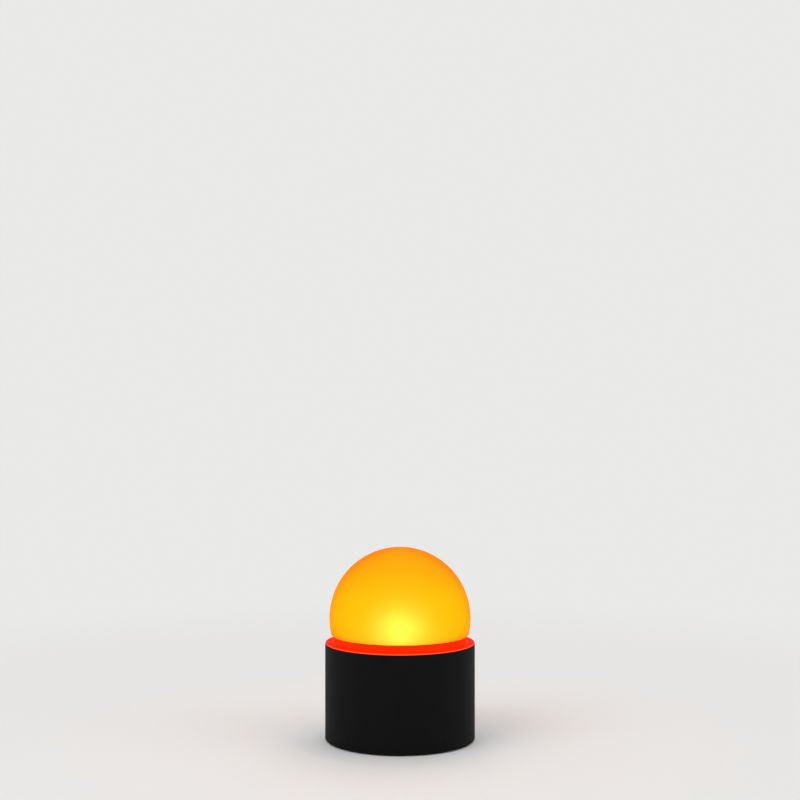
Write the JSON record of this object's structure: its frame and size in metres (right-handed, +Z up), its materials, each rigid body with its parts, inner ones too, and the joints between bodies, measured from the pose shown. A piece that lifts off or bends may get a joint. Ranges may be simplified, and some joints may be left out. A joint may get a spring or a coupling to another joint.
{
  "type": "sunset lamp",
  "caption": "Cordless table lamp: frosted amber globe on a glowing red ring and a round matt black base, with an up-firing beam, battery, rear push button and charging inlet.",
  "frame": {"origin": "centre of the base's underside, on the table", "axes": "+Z up along the lamp's axis, -Y towards the front, +Y towards the button and the charging inlet"},
  "size_m": [0.159, 0.159, 0.2036],
  "materials": {
    "housing_black": "fine matt moulded texture",
    "bezel_black": "satin moulded",
    "button_black": "satin moulded",
    "inner_black": "plain moulded",
    "foot_rubber": "matt rubber",
    "screw_steel": "zinc plated",
    "ballast_steel": "zinc plated",
    "socket_steel": "drawn shell",
    "contact_plate": "plated spring metal",
    "cast_aluminium": "as cast",
    "ring_acrylic": "translucent, lit from inside",
    "gasket_silicone": "translucent silicone",
    "white_board": "white solder mask",
    "green_board": "green solder mask",
    "amber_led": "lit resin",
    "red_led": "lit resin",
    "reflector_white": "satin white",
    "clear_lens": "clear polished",
    "holder_milky": "milky translucent, lit from inside",
    "cell_sleeve": "shrunk film",
    "lead_black": "soft cable jacket",
    "lead_red": "soft cable jacket",
    "plunger_white": "plain moulded",
    "globe_amber": "frosted amber acrylic, lit from inside"
  },
  "bodies": {
    "lamp_base": {"base_housing": "housing_black", "bottom_cover": "housing_black", "foot_pads": "foot_rubber", "cover_screws": "screw_steel", "ballast_plate": "ballast_steel", "glow_ring": "ring_acrylic", "ring_screws": "screw_steel", "globe_gasket": "gasket_silicone", "heat_sink": "cast_aluminium", "heat_sink_screws": "screw_steel", "led_board": "white_board", "amber_leds": "amber_led", "red_leds": "red_led", "reflector": "reflector_white", "reflector_screws": "screw_steel", "beam_board": "white_board", "beam_led": "red_led", "lens_holder": "holder_milky", "beam_lens": "clear_lens", "battery_holder": "inner_black", "holder_screws": "screw_steel", "battery_cells": "cell_sleeve", "battery_contacts": "contact_plate", "control_board": "green_board", "board_parts": "inner_black", "board_screws": "screw_steel", "push_switch": "inner_black", "usb_socket": "socket_steel", "usb_bezel": "bezel_black", "light_pipe": "clear_lens", "led_lead": "lead_black", "battery_lead": "lead_red", "button_spring": "screw_steel"},
    "power_button": {"power_button": "button_black", "switch_plunger": "plunger_white"},
    "globe": {"globe": "globe_amber"}
  },
  "joints": [
    {"name": "globe_lift", "type": "slide", "parent": "lamp_base", "child": "globe", "axis": [0, 0, 1], "range_m": [0, 0.06]},
    {"name": "power_button_press", "type": "slide", "parent": "lamp_base", "child": "power_button", "axis": [0, -1, 0], "range_m": [0, 0.0015], "stiffness_N_per_m": 400, "springref_m": -0.001, "deforming": ["button_spring"]}
  ]
}
